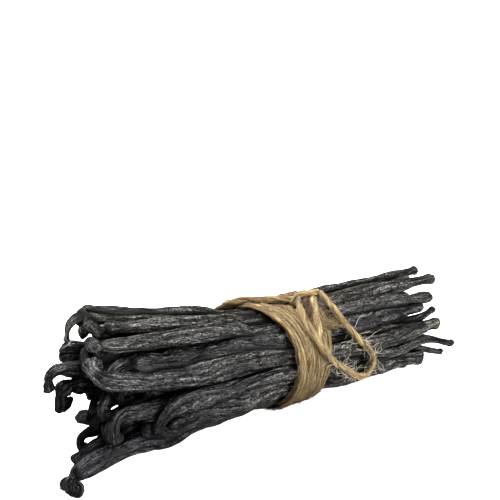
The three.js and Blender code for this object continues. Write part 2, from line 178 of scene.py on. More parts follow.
# Stalk ends drawn forward over the pods beside them, or back, and by how much.
FORWARD = np.array([-0.494, -0.760, 0.423])
DRAWN_FORWARD = {45: 3.5, 32: -2.2, 40: -1.5, 29: 2}
DRAWN_FROM = -0.025  # along X, and over what length the shift comes in
DRAWN_OVER = 0.035
# A hanging stalk end, whose neck is pushed out: how far, where that starts and is complete,
# and from where and over what length it fades.
HANGING = {41: np.array([-4, 0, 1.2])}
NECK_START, NECK_OVER = 0.0015, 0.0045
NECK_END, NECK_FADE = 0.0064, 0.011
# The bow's loop as in the part, in millimetres: out of the knot, down over the front and
# back up across the winding.
BOW_LOOP = [
    (22.9, -4.4, 45.2), (23.8, -7.9, 43.7), (24.2, -11.2, 41.5), (24.8, -14.7, 39.1),
    (25.7, -18.1, 36.6), (27, -21.1, 33.7), (28.55, -23.1, 30.95), (30.4, -24.1, 28.9),
    (32.8, -24.7, 26.4), (34.8, -24.4, 22.8), (35, -23.8, 18.9), (32.9, -23.3, 15.6),
    (29.1, -23.5, 15.4), (25.8, -23.2, 17.9), (22.3, -23.2, 20.9), (18.9, -24.3, 23.2),
    (15.4, -25.4, 26.1), (12.7, -24.7, 29.4), (10.8, -23.1, 32.7), (9.7, -20.8, 35.8),
    (9.2, -18.1, 38.5), (9.3, -14.9, 40.9), (10.1, -11.3, 42.8), (11.4, -7.9, 44.3),
    (13.1, -5.3, 45.2),
]

# Strands that lie over the winding, and the knot's, in millimetres from the origin.
TOP_PASS = [
    (-6, 21.4, 24), (-5.6, 20.6, 29.5), (-5, 17.6, 34.6), (-4.3, 13.6, 38.9),
    (-3.1, 9.6, 41.5), (-1.2, 6.8, 42.8), (1, 5.3, 43.2), (3.9, 4, 43.2), (6.6, 2, 43.3),
    (9.5, -0.4, 43.5), (12.5, -2.6, 43.5), (15.2, -4.9, 43.6), (16.9, -6.6, 44.2),
]
FRONT_PASS = [
    (24.6, 2.2, 41.9), (24.2, -1.2, 43), (23.4, -4.2, 43.9), (22.4, -6.9, 44.1),
    (21.5, -9.2, 43.8), (20, -12.7, 42.7), (17.3, -18.6, 39.4), (15.8, -22.6, 35.7),
    (15.8, -25, 32.2), (16.6, -26.4, 29),
]
KNOT_STRANDS = [
    [(13.2, -8.6, 43.4), (14.4, -7.4, 44.3), (15.9, -6.8, 45.2), (17.6, -6.6, 45.6),
     (19.6, -6.8, 45.8), (21.5, -7.3, 45.8), (23.3, -7.5, 45.7), (24.9, -7.2, 45.4),
     (26.1, -6.9, 45.2)],
    [(20, 2.2, 41.8), (19.4, -0.8, 43.3), (18.4, -3.8, 44.3), (17.2, -6.4, 44.2),
     (16, -9.2, 43.3), (15.1, -11.6, 42.2), (14.6, -13.6, 40.6)],
    [(22.6, 2.2, 41.8), (21.9, -1.2, 43.3), (20.8, -4, 44.2), (19.6, -6.6, 44),
     (18.2, -9.4, 42.8), (17, -12, 41.4), (16.3, -14, 40)],
]
KNOT_SHADE_TONES = (1, 0.2, 0.1)  # the two strands that run under the first are painted darker, as painted shade from it
# Patches with loose fibres: four corners each, in millimetres.
KNOT_SHADE = [(17.3, -8, 44.6), (20.4, -9.4, 44.5), (16.2, -16.4, 41.6), (13.9, -14, 42.4)]
BOW_SHADE = [(23.7, -9.6, 42.8), (24.7, -12, 42.2), (24.6, -18, 39.1), (20, -16.1, 39.9)]
BOW_TUFT = [(19.3, -17, 40), (25.6, -19.7, 38.7), (24.8, -22, 36.5), (18.1, -20.6, 37.2)]

# ---- sizes of the dressed pieces ----
POD_SIDES = 64
POD_RINGS = 210
POD_SEED = 700
TOUCHING = 0.0026  # the gap to the next pod within which the skin is painted darker, as painted shade
CROSS_FOLDS = 1900  # how closely folds lie across the inner side of a curl, per metre
PLY_SIDES = 18
PLY_PITCH = 0.017  # one full twist of the two plies
FIBRE_PITCH = 0.03  # one full turn of the fibres in a ply
STRAND_STEP = 0.0005
FIBRE_SIDES = 3
LAID_STEPS = 8  # steps of a strand's line between two of its given points


# ---- differences between pods ----
def draw(pod, trait):
    """A repeatable draw from 0 to 1 for one trait of one pod."""
    v = math.sin(pod * 12.9898 + trait * 78.233) * 43758.5453
    return v - math.floor(v)


def between(pod, trait, low, high):
    return low + (high - low) * draw(pod, trait)


def pod_radius(pod, u):
    """A pod's half width at shares u of its length, from the stalk's end to the tip."""
    stalk = CURLS[pod][2] if pod in CURLS else between(pod, 10, 0.5, 0.75)
    fat = FAT.get(pod) or between(pod, 1, 0.86, 1.1)
    thin = stalk + (1 - stalk) * np.minimum(1, u / 0.18)
    tip = 1 - 0.42 * (np.maximum(0, u - 0.8) / 0.2) ** 1.3
    belly = 1 + 0.1 * np.sin(math.pi * np.minimum(1, u / 0.62))
    uneven = 1 + 0.05 * np.sin(2 * math.pi * (u * between(pod, 11, 3, 6) + draw(pod, 12)))
    return POD_HALF_WIDTH * fat * thin * tip * belly * uneven


# ---- routes of the pods, as in the part ----
def unit(v):
    return v / np.linalg.norm(v, axis=-1, keepdims=True)


def flare(x):
    """How much wider than at the tie the twine lets the bundle be at x."""
    return 1 + TIE_FLARE * ((x - TIE[0]) / TIE_REACH) ** 2


def loose_route(pod):
    """Where a pod would lie by itself: in its place in the bundle, fanned out from the tie."""
    out = math.sqrt((pod + 0.6) / (PODS + 0.2))
    angle = pod * GOLDEN_ANGLE
    radius = float(pod_radius(pod, 0.5))
    across = (TIE_HALF_WIDTH - radius) * out * math.cos(angle)
    upward = (TIE_HALF_HEIGHT - radius) * out * math.sin(angle) + MOVED.get(pod, 0) / 1000
    if pod in CURLS:
        way, turn, _, sizes = CURLS[pod]
        curl_x, bend_radius, tail, *sway = np.array(sizes) / 1000
    else:
        curl_x = between(pod, 2, *STALK_END)
        way = between(pod, 4, -160, -20)
        turn = between(pod, 5, 60, 200)
        bend_radius = between(pod, 6, 0.0035, 0.0065)
        tail, sway = 0.0015, (0, 0)
    tip_x, tip_sway = between(pod, 3, *TIP_END), 0
    if pod in TIPS:
        tip_x, tip_sway = np.array(TIPS[pod]) / 1000
    wave = between(pod, 7, 0.0003, 0.0013)
    phase = 2 * math.pi * draw(pod, 8)
    wave_length = between(pod, 9, 0.055, 0.095)

    def along(x):
        x = np.asarray(x, float)
        left = np.maximum(0, (TIE[0] - x) / STALK_LENGTH)
        right = np.maximum(0, (x - TIE[0]) / TIP_LENGTH)
        wide = 1 + STALK_SPREAD["width"] * left**1.4 + TIP_SPREAD["width"] * right**1.3
        high = 1 + STALK_SPREAD["height"] * left**1.4 + TIP_SPREAD["height"] * right**1.3
        rise = STALK_SPREAD["rise"] * left**1.4 + TIP_SPREAD["rise"] * right
        bend = wave * np.minimum(1, 3 * (left + right))
        swing = 2 * math.pi * x / wave_length
        y = TIE[1] + across * wide + sway[0] * left**2 + bend * np.cos(swing + phase)
        z = TIE[2] + rise + upward * high + bend * np.sin(swing + 1.7 * phase)
        z = z + sway[1] * left**2 + tip_sway * right**2
        return np.stack([x, y, z], axis=-1)

    # The curl is an arc in the plane of the pod's direction and the way it curls.
    start = along(curl_x)
    heading = unit(start - along(curl_x + 0.001))
    way_to = np.array([0, math.cos(math.radians(way)), math.sin(math.radians(way))])
    way_to = unit(way_to - heading * (way_to @ heading))
    arc = np.linspace(math.radians(turn), 0, CURL_STEPS + 1)[:-1, None]
    curl = start + bend_radius * (heading * np.sin(arc) + way_to * (1 - np.cos(arc)))
    end = curl[0] + tail * (heading * math.cos(arc[0, 0]) + way_to * math.sin(arc[0, 0]))
    body = along(np.linspace(curl_x, tip_x, BODY_STEPS + 1))
    return np.vstack([end[None], curl, body])


def lengths_along(line):
    """The distance along a polyline to each of its points."""
    steps = np.linalg.norm(np.diff(line, axis=0), axis=1)
    return np.concatenate([[0], np.cumsum(steps)])


def points_at(line, shares):
    """Points on a polyline at rising shares of its length."""
    reached = lengths_along(line)
    return np.stack([np.interp(shares * reached[-1], reached, line[:, k]) for k in range(3)], 1)


def near_pairs(at, size, margin=0.003):
    """Pairs of points of different pods that may touch in the next rounds."""
    first, second = [], []
    for pod in range(PODS - 1):
        own = slice(pod * SETTLE_POINTS, (pod + 1) * SETTLE_POINTS)
        later = (pod + 1) * SETTLE_POINTS
        apart = np.linalg.norm(at[own][:, None] - at[None, later:], axis=2)
        a, b = np.nonzero(apart < size[own][:, None] + size[None, later:] + margin)
        first.append(a + pod * SETTLE_POINTS)
        second.append(b + later)
    return np.concatenate(first), np.concatenate(second)


def settled_shifts(loose, radii):
    """How far the pods shift as they push each other apart, inside the twine."""
    rest, size = loose.reshape(-1, 3), radii.ravel()
    shift = np.zeros_like(rest)
    for step in range(SETTLE_ROUNDS):
        at = rest + shift
        if step % PAIRS_EVERY == 0:
            first, second = near_pairs(at, size)
        away = at[second] - at[first]
        apart = np.linalg.norm(away, axis=1) + 1e-12
        short = (size[first] + size[second]) * TOUCH - apart
        hit = short > 0
        push = away[hit] * (0.5 * short[hit] / apart[hit])[:, None]
        a, b = first[hit], second[hit]
        touches = np.bincount(a, minlength=len(rest)) + np.bincount(b, minlength=len(rest))
        pushed = np.stack([
            np.bincount(b, push[:, k], len(rest)) - np.bincount(a, push[:, k], len(rest))
            for k in range(3)
        ], 1)
        shift += SETTLE_PUSH * pushed / np.maximum(1, touches)[:, None]
        pods = shift.reshape(PODS, SETTLE_POINTS, 3)
        back = np.concatenate([pods[:, 1:2], pods[:, :-1]], axis=1)
        ahead = np.concatenate([pods[:, 1:], pods[:, -2:-1]], axis=1)
        at = rest + (0.5 * pods + 0.25 * back + 0.25 * ahead).reshape(-1, 3)
        inside = np.abs(at[:, 0] - TIE[0]) < TIE_REACH
        edge = FULL * size + CHORD
        y = (at[:, 1] - TIE[1]) / (TIE_HALF_WIDTH * flare(at[:, 0]) - edge)
        z = (at[:, 2] - TIE[2]) / (TIE_HALF_HEIGHT * flare(at[:, 0]) - edge)
        out = np.where(inside, np.maximum(1, np.hypot(y, z)), 1)
        at[:, 1:] = TIE[1:] + (at[:, 1:] - TIE[1:]) / out[:, None]
        at[:, 2] = np.maximum(at[:, 2], SINK * size)
        shift = at - rest
    return shift.reshape(PODS, SETTLE_POINTS, 3)


def smooth_step(t):
    """An even slope from 0 to 1 that starts and ends level."""
    return t * t * (3 - 2 * t)


def ease(values, rounds):
    """Evens out values along a line, each with its two neighbours, and keeps both ends."""
    for _ in range(rounds):
        values[1:-1] = 0.5 * values[1:-1] + 0.25 * (values[:-2] + values[2:])


def posed(pod, line):
    """A pod's line with its raised tip, its stalk end drawn forward and its hanging end."""
    length = lengths_along(line)
    reach, rise, arch = np.array(TIP_BENDS.get(pod, (1, 0, 0))) / 1000
    t = np.clip(1 - (length[-1] - length) / reach, 0, 1)
    line[:, 2] += rise * t**2 + arch * np.sin(math.pi * t) ** 2
    drawn = smooth_step(np.clip((DRAWN_FROM - line[:, :1]) / DRAWN_OVER, 0, 1))
    line = line + DRAWN_FORWARD.get(pod, 0) / 1000 * drawn * FORWARD
    neck = smooth_step(np.clip((length - NECK_START) / NECK_OVER, 0, 1))
    neck = neck * np.exp(-(np.maximum(0, length - NECK_END) / NECK_FADE) ** 2)
    return line + HANGING.get(pod, 0) / 1000 * neck[:, None]


def pod_lines():
    """The settled pods' middle lines, eased over about a millimetre."""
    routes = [loose_route(pod) for pod in range(PODS)]
    coarse = np.linspace(0, 1, SETTLE_POINTS)
    fine = np.linspace(0, 1, LINE_POINTS)
    loose = np.stack([points_at(route, coarse) for route in routes])
    radii = np.stack([pod_radius(pod, coarse) for pod in range(PODS)])
    shifts = settled_shifts(loose, radii)
    lines = []
    for pod, (route, shift) in enumerate(zip(routes, shifts)):
        moved = np.stack([np.interp(fine, coarse, shift[:, k]) for k in range(3)], 1)
        line = points_at(route, fine) + moved - MIDDLE
        ease(line, 8)
        lines.append(posed(pod, line))
    return lines


# ---- irregular surfaces ----
def drift(dice, at, spacing):
    """A smooth irregular curve from about -1 to 1, its knots that far apart."""
    knots = dice.uniform(-1, 1, int(at.max() / spacing) + 4)
    place = np.maximum(0, at / spacing)
    k = np.floor(place).astype(int)
    t = smooth_step(place - k)
    return knots[k] * (1 - t) + knots[k + 1] * t


def tube_noise(dice, turn, at, around, spacing):
    """Smooth irregular bumps from about -1 to 1 over a tube, that many round it."""
    table = dice.uniform(-1, 1, (around, int(at.max() / spacing) + 4))
    u = (turn / (2 * math.pi)) * around
    v = np.maximum(0, at / spacing)
    i, k = np.floor(u).astype(int), np.floor(v).astype(int)
    a, b = smooth_step(u - i), smooth_step(v - k)
    i0, i1 = i % around, (i + 1) % around
    low = table[i0, k] * (1 - a) + table[i1, k] * a
    high = table[i0, k + 1] * (1 - a) + table[i1, k + 1] * a
    return low * (1 - b) + high * b


def headings(lines):
    """Directions along a line, or along each of many."""
    ahead = np.concatenate([lines[..., 1:, :], lines[..., -1:, :]], -2)
    back = np.concatenate([lines[..., :1, :], lines[..., :-1, :]], -2)
    return unit(ahead - back)


def frames_along(line):
    """Directions along a line and two square to it, with no twist from point to point."""
    heading = headings(line)
    side = np.cross([0, 0, 1.0], heading[0])
    sides = []
    for h in heading:
        side = unit(side - h * (side @ h))
        sides.append(side)
    sides = np.array(sides)
    return heading, sides, np.cross(heading, sides)


# ---- making pieces ----
def coordinates(mesh):
    at = np.empty(len(mesh.vertices) * 3)
    mesh.vertices.foreach_get("co", at)
    return at.reshape(-1, 3)


def rolled_sheet(rings, sides):
    """A straight blank along X, one long and one in half width: a sheet rolled up and closed.

    The point (u, cos a, sin a) lies at share u of the length, at angle a.
    """
    bpy.ops.mesh.primitive_grid_add(x_subdivisions=rings, y_subdivisions=sides, size=2)
    blank = bpy.context.object
    at = coordinates(blank.data)
    share = (at[:, 0] + 1) / 2
    turn = (at[:, 1] + 1) * math.pi
    half = np.where((share < 1e-4) | (share > 1 - 1e-4), 0, 1)
    rolled = np.stack([share, half * np.cos(turn), half * np.sin(turn)], 1)
    blank.data.vertices.foreach_set("co", rolled.ravel())
    bpy.ops.object.mode_set(mode="EDIT")
    bpy.ops.mesh.select_all(action="SELECT")
    bpy.ops.mesh.remove_doubles(threshold=1e-5)
    bpy.ops.mesh.normals_make_consistent(inside=False)
    bpy.ops.object.mode_set(mode="OBJECT")
    bpy.ops.object.shade_smooth()
    return blank


def copy_of(blank, name):
    """A copy of a blank with its own mesh."""
    mesh = blank.data.copy()
    mesh.name = name
    return in_scene(name, mesh)


def put_points(mesh, at):
    mesh.vertices.foreach_set("co", np.ascontiguousarray(at, np.float32).ravel())
    mesh.update()


def put_values(mesh, name, values):
    """Stores a number or a vector for each point, which the materials read by name."""
    kind, key = ("FLOAT", "value") if values.ndim == 1 else ("FLOAT_VECTOR", "vector")
    layer = mesh.attributes.new(name, kind, "POINT")
    layer.data.foreach_set(key, np.ascontiguousarray(values, np.float32).ravel())


def joined(name, pieces):
    bpy.ops.object.select_all(action="DESELECT")
    for piece in pieces:
        piece.select_set(True)
    bpy.context.view_layer.objects.active = pieces[0]
    bpy.ops.object.join()
    pieces[0].name = pieces[0].data.name = name
    return pieces[0]


# ---- pods ----
def swelling(lumps, distance):
    """The share that lumps and necks add to a half width, each one smooth and short."""
    mm = 1000 * distance
    return sum(share * np.exp(-(((mm - at) / reach) ** 2)) for at, reach, share in lumps)


def end_shape(pod, from_stalk, from_tip):
    """How a pod's half width departs from its plain taper near its two ends."""
    plain_stalk = [(1.8, 1.6, between(pod, 21, 0.1, 0.4)), (6.5, 3, -between(pod, 22, 0, 0.25))]
    plain_tip = [(2.4, 2, between(pod, 23, -0.05, 0.35)), (8.5, 4, -between(pod, 24, 0, 0.25))]
    shape = 1 + swelling(STALK_LUMPS.get(pod, plain_stalk), from_stalk)
    shape += swelling(TIP_LUMPS.get(pod, plain_tip), from_tip)
    for distance, roundness in ((from_stalk, 0.0011), (from_tip, 0.0016)):
        short = np.clip(1 - distance / roundness, 0, 1)
        shape = shape * np.sqrt(1 - short**2)
    return shape


def broad_side(rings, curving, bend, side, other):
    """The angle that a pod's broad side faces: along the bundle's surface, and across a curl."""
    outwards = rings - (TIE - MIDDLE)
    outwards[:, 0] = 0
    outwards = unit(outwards)
    doubled = 0
    for thin, weight in ((outwards, 1), (unit(curving + 1e-9), 12 * bend**2)):
        angle = np.arctan2((thin * other).sum(1), (thin * side).sum(1))
        doubled = doubled + weight * np.exp(2j * angle)
    ease(doubled, 12)
    return np.angle(doubled) / 2 + math.pi / 2


def nearness(at, ring, rings, others, sizes):
    """How near each point of a pod lies to the skin of the pods beside it: 1 where they touch."""
    clear = np.linalg.norm(rings[:, None] - others[None], axis=2) - sizes
    close = np.argpartition(clear, 12, axis=1)[:, :12][ring]
    clear = (np.linalg.norm(at[:, None] - others[close], axis=2) - sizes[close]).min(1)
    return 1 - smooth_step(np.clip((clear + 0.0002) / TOUCHING, 0, 1))


def wrinkles(dice, pod, turn, s):
    """Ribs that run along a pod, wander, fade in and out, and are parted by sharp grooves.

    Gives the angle round the pod that they follow, their height, and the pod's half width as
    a share of the plain one.
    """
    bent = turn + between(pod, 26, -9, 9) * s + 0.25 * drift(dice, s, 0.016)
    bent = bent + 0.30 * tube_noise(dice, turn, s, 3, 0.014)
    bent = bent + 0.16 * tube_noise(dice, turn, s, 6, 0.007)
    ribs = int(between(pod, 27, 5, 8.99))
    main = np.abs(np.cos(0.5 * (ribs * bent))) ** 0.5
    strength = 0.6 + 0.45 * tube_noise(dice, turn, s, 5, 0.012)
    folds = np.abs(tube_noise(dice, bent, s, 14, 0.011)) ** 0.5
    fine = np.abs(tube_noise(dice, bent, s, 26, 0.006)) ** 0.6
    height = main * strength + 0.7 * folds + 0.4 * fine
    depth = between(pod, 28, 0.24, 0.36)
    swell = tube_noise(dice, turn, s, 4, 0.008)
    return bent, height, 1 + depth * (height - 0.95) + 0.06 * swell


def shape_pod(piece, pod, line, others, sizes):
    """Lays a blank along its line as a wrinkled, slightly flattened pod."""
    dice = np.random.default_rng(POD_SEED + pod)
    blank = coordinates(piece.data)
    ring = np.rint(blank[:, 0] * POD_RINGS).astype(int)
    turn = np.arctan2(blank[:, 2], blank[:, 1])
    t = np.arange(POD_RINGS + 1) / POD_RINGS
    share = t - 0.5 * np.sin(2 * math.pi * t) / (2 * math.pi)
    rings = points_at(line, share)
    heading, side, other = frames_along(rings)
    length = lengths_along(line)[-1]
    along = share * length

    half = pod_radius(pod, share) * end_shape(pod, along, length - along)
    half = half * (1 + 0.06 * drift(dice, along, 0.007) + 0.07 * drift(dice, along, 0.024))
    curving = np.gradient(heading, axis=0) / np.gradient(along)[:, None]
    bend = np.linalg.norm(curving, axis=1) * half
    flat = 1.12 + 0.08 * drift(dice, along, 0.03) + 0.3 * np.clip(bend, 0, 0.8)
    facing = broad_side(rings, curving, bend, side, other) + 0.4 * drift(dice, along, 0.03)

    s = along[ring]
    bent, height, relief = wrinkles(dice, pod, turn, s)
    # On the inner side of a curl the skin is pressed into cross folds.
    inner = np.cos(turn)[:, None] * side[ring] + np.sin(turn)[:, None] * other[ring]
    pressed = np.clip((inner * curving[ring]).sum(1) * half[ring], 0, 0.7)
    cross = s * CROSS_FOLDS + 2 * drift(dice, s, 0.004) + 0.5 * np.sin(3 * turn)
    relief = relief - 0.25 * pressed * (1 - np.abs(np.sin(cross)))

    facing = facing[ring]
    across = half[ring] * relief * flat[ring] * np.cos(turn - facing)
    through = half[ring] * relief / flat[ring] * np.sin(turn - facing)
    y = across * np.cos(facing) - through * np.sin(facing)
    z = across * np.sin(facing) + through * np.cos(facing)
    at = rings[ring] + side[ring] * y[:, None] + other[ring] * z[:, None]
    at[:, 2] = np.maximum(at[:, 2], 0)
    put_points(piece.data, at)
    grain = [s + 0.3 * pod, POD_HALF_WIDTH * np.cos(bent), POD_HALF_WIDTH * np.sin(bent)]
    put_values(piece.data, "grain", np.stack(grain, 1))
    # Painted sheen and shade: the ribs' height paints the skin paler on the ribs and darker in the
    # grooves.
    put_values(piece.data, "crest_light", np.clip(height / 1.5, 0, 1))
    # Painted shade: nearness to the other pods, which darkens the skin where they touch.
    put_values(piece.data, "crevice_shade", nearness(at, ring, rings, others, sizes))
    # Painted light and shade: 0 low down at the stalk ends, painted darker and bluer as painted
    # shade with a cool painted reflection, and 1 on top and at the tips, painted lighter as
    # painted light; a random share per pod is its own tone.
    top = np.clip((at[:, 2] - 0.02) / 0.025, 0, 1)
    place = top + (1 - top) * np.clip((at[:, 0] + 0.075) / 0.06, 0, 1)
    put_values(piece.data, "light_and_tone", 0.75 * place + 0.25 * draw(pod, 29))


def make_pods(lines):
    blank = rolled_sheet(POD_RINGS, POD_SIDES)
    points = np.stack([line[::3] for line in lines])
    shares = np.linspace(0, 1, LINE_POINTS)[::3]
    sizes = np.stack([pod_radius(pod, shares) for pod in range(PODS)])
    pieces = []
    for pod, line in enumerate(lines):
        piece = copy_of(blank, f"pod_{pod + 1:02d}")
        rest = np.arange(PODS) != pod
        shape_pod(piece, pod, line, points[rest].reshape(-1, 3), sizes[rest].ravel())
        pieces.append(piece)
    bpy.data.objects.remove(blank)
    return pieces


# ---- twine ----
def spline_over(points):
    """A cubic B-spline over given points."""
    ends = np.vstack([2 * points[0] - points[1], points, 2 * points[-1] - points[-2]])
    t = (np.arange(LAID_STEPS) / LAID_STEPS)[:, None]
    line = []
    for k in range(len(ends) - 3):
        a, b, c, d = ends[k:k + 4]
        line.append((
            (1 - t) ** 3 * a + (3 * t**3 - 6 * t * t + 4) * b
            + (3 * (t + t * t - t**3) + 1) * c + t**3 * d
        ) / 6)
    return np.vstack([*line, points[-1:]])


def laid(points):
    """The line over a strand's given points, which are in millimetres."""
    return spline_over(np.array(points) / 1000)


def spaced(line, step):
    """The line again with its points about that far apart."""
    count = int(round(lengths_along(line)[-1] / step))
    return points_at(line, np.linspace(0, 1, count + 1))


def turn_pitch(a):
    """How far one turn lies from the next at an angle up from the front."""
    return 0.0031 - 0.0006 * np.cos(a) + 0.00035 * np.sin(a) - 0.0003 * np.cos(2 * a)


def winding_point(turns):
    """The winding's middle line as in the part: down the front, under, up the back."""
    a = math.pi / 2 - 2 * math.pi * turns
    middle = 0.0053 + 0.004 * np.cos(a) + 0.0036 * np.sin(a) - 0.001 * np.cos(2 * a)
    x = middle + (turns - 2.75) * turn_pitch(a)
    y = TIE[1] - (TIE_HALF_WIDTH * flare(x) + TWINE_OFF) * np.cos(a)
    z = TIE[2] + (TIE_HALF_HEIGHT * flare(x) + TWINE_OFF) * np.sin(a)
    return np.stack([x, y, z], -1) - MIDDLE


def angle_up(points):
    """The angle up from the front that points round the bundle lie at."""
    _, y, z = (points + MIDDLE - TIE).T
    return np.arctan2(z / TIE_HALF_HEIGHT, -y / TIE_HALF_WIDTH)


def body_at(xs, pod, line):
    """Where a pod's body, without its curl, lies at each x along Y and Z, and its half width."""
    body = line[CURLED_POINTS:]
    order = np.argsort(body[:, 0])
    radii = pod_radius(pod, np.linspace(0, 1, LINE_POINTS)[CURLED_POINTS:])
    x, y, z, radius = (*body[order].T, radii[order])
    return np.stack([np.interp(xs, x, values) for values in (y, z, radius)], -1)


def drawn_tight(line, lines):
    """The winding drawn in until it lies on the pods, as taut twine does."""
    step = 0.001
    xs = np.arange(-0.016, 0.034, step) - MIDDLE[0]
    bodies = np.stack([body_at(xs, pod, body) for pod, body in enumerate(lines)])
    ways = np.linspace(0, 2 * math.pi, 120, endpoint=False)
    normals = np.stack([np.cos(ways), np.sin(ways)])
    middle = (TIE - MIDDLE)[1:]
    reach = ((bodies[..., :2] - middle) @ normals + bodies[..., 2:]).max(0)
    tight = []
    for p in line:
        k = int(np.clip(round((p[0] - xs[0]) / step), 0, len(xs) - 1))
        out = p[1:] - middle
        far = np.linalg.norm(out)
        toward = (out / far) @ normals
        hull = (reach[k][toward > 0.1] / toward[toward > 0.1]).min()
        tight.append(min(far, hull + 0.9 * TWINE_HALF_WIDTH) / far)
    tight = np.array(tight)
    ease(tight, 6)
    moved = line.copy()
    moved[:, 1:] = middle + (line[:, 1:] - middle) * tight[:, None]
    return moved


def strand_frame(line, pressed):
    """A strand's rings, the two ways across it, and its half width and half thickness.

    Where it is pressed on the bundle it spreads over the room between the turns beside it.
    """
    rings = spaced(line, STRAND_STEP)
    heading, side, other = frames_along(rings)
    size = np.full(len(rings), TWINE_HALF_WIDTH)
    if not pressed:
        return rings, side, other, size, size
    y, z = (rings + MIDDLE - TIE)[:, 1:].T
    outwards = np.stack([0 * y, y / TIE_HALF_WIDTH**2, z / TIE_HALF_HEIGHT**2], 1)
    other = unit(outwards - heading * (outwards * heading).sum(1, keepdims=True))
    return rings, np.cross(other, heading), other, 0.46 * turn_pitch(angle_up(rings)), 0.85 * size


def jute_strand(name, line, seed, pressed=False, light_and_tone=1):
    """Two plies of jute along a line, twisted slowly, or side by side where they are pressed.

    Its tone paints shade: 0 in deep painted shade and 1 in the open, or a function of the distance
    along the line.
    """
    dice = np.random.default_rng(seed)
    rings, side, other, wide, high = strand_frame(line, pressed)
    along = lengths_along(rings)
    lights_and_tones = light_and_tone(along) if callable(light_and_tone) else light_and_tone
    if pressed:
        rings = rings + side * (0.22 * wide * drift(dice, along, 0.017))[:, None]
        rings = rings + other * (0.4 * high * drift(dice, along, 0.021))[:, None]
    blank = rolled_sheet(len(rings) - 1, PLY_SIDES)
    flat = coordinates(blank.data)
    ring = np.rint(flat[:, 0] * (len(rings) - 1)).astype(int)
    turn = np.arctan2(flat[:, 2], flat[:, 1])
    if pressed:
        lay = 0.5 * drift(dice, along, 0.014)
        off_wide, off_high, half_wide, half_high = 0.5 * wide, 0.3 * high, 0.5 * wide, 0.8 * high
    else:
        lay = 2 * math.pi * along / PLY_PITCH + 0.7 * drift(dice, along, 0.01)
        off_wide = off_high = 0.42 * wide
        half_wide = half_high = 0.76 * wide
    plies = []
    for ply in range(2):
        piece = copy_of(blank, f"{name}_ply{ply}")
        angle = lay + math.pi * ply
        thick = 1 + 0.10 * drift(dice, along, 0.005) + 0.06 * drift(dice, along, 0.0015)
        thick = thick * np.minimum(1, np.minimum(along, along[-1] - along) / 0.0006 + 0.3)
        wander = 0.16 * wide * drift(dice, along, 0.009)
        centre = rings + side * (off_wide * np.cos(angle) + wander)[:, None]
        centre = centre + other * (off_high * np.sin(angle))[:, None]
        s = along[ring]
        spun = turn - 2 * math.pi * s / FIBRE_PITCH
        strands = np.abs(tube_noise(dice, spun, s, 8, 0.008))
        threads = np.abs(tube_noise(dice, spun, s, 15, 0.005))
        height = strands + 0.5 * threads
        r = thick[ring] * (0.88 + 0.24 * height + 0.07 * tube_noise(dice, turn, s, 3, 0.003))
        across, through = half_wide[ring] * r * np.cos(turn), half_high[ring] * r * np.sin(turn)
        at = centre[ring] + side[ring] * across[:, None] + other[ring] * through[:, None]
        # Painted shade: the plies are painted darker in the grooves between fibres, and on their
        # side towards the pods where pressed, or where the two plies meet.
        outer = 1.3 * np.sin(turn) - 0.1
        if not pressed:
            outer = np.linalg.norm(at - rings[ring], axis=1) / TWINE_HALF_WIDTH
        crest_light = np.clip(height, 0, 1) * 0.5 + 0.5 * np.clip(outer, 0, 1)
        put_points(piece.data, at)
        grain = [s + 0.4 * ply, half_high[ring] * np.cos(spun), half_high[ring] * np.sin(spun)]
        put_values(piece.data, "grain", np.stack(grain, 1))
        put_values(piece.data, "crest_light", crest_light)
        put_values(piece.data, "light_and_tone", (lights_and_tones * (0.5 + 0.5 * drift(dice, along, 0.03)))[ring])
        plies.append(piece)
    bpy.data.objects.remove(blank)
    return joined(name, plies)


def fibre_tubes(name, lines, half_widths, lights_and_tones):
    """Many thin fibres as one piece: a tube of few sides along each line."""
    count, points, _ = lines.shape
    heading = headings(lines)
    side = unit(np.cross(heading, np.array([0.3, 0.5, 0.81])))
    other = np.cross(heading, side)
    taper = np.ones(points)
    taper[-1] = 0.3
    k = np.arange(FIBRE_SIDES)
    a = 2 * math.pi * k / FIBRE_SIDES
    r = (half_widths[:, None] * taper)[:, :, None, None]
    at = lines[:, :, None] + r * (
        side[:, :, None] * np.cos(a)[:, None] + other[:, :, None] * np.sin(a)[:, None])
    start = (np.arange(count) * points * FIBRE_SIDES)[:, None]
    ring = start[..., None] + (np.arange(points - 1) * FIBRE_SIDES)[:, None]
    after = (k + 1) % FIBRE_SIDES
    quads = np.stack([
        ring + k, ring + after, ring + FIBRE_SIDES + after, ring + FIBRE_SIDES + k,
    ], -1).reshape(-1, 4)
    caps = np.concatenate([start + k[::-1], start + (points - 1) * FIBRE_SIDES + k])
    mesh = bpy.data.meshes.new(name)
    mesh.from_pydata(at.reshape(-1, 3).tolist(), [], quads.tolist() + caps.tolist())
    mesh.validate()
    mesh.shade_smooth()
    put_values(mesh, "light_and_tone", np.repeat(lights_and_tones, points * FIBRE_SIDES))
    return in_scene(name, mesh)


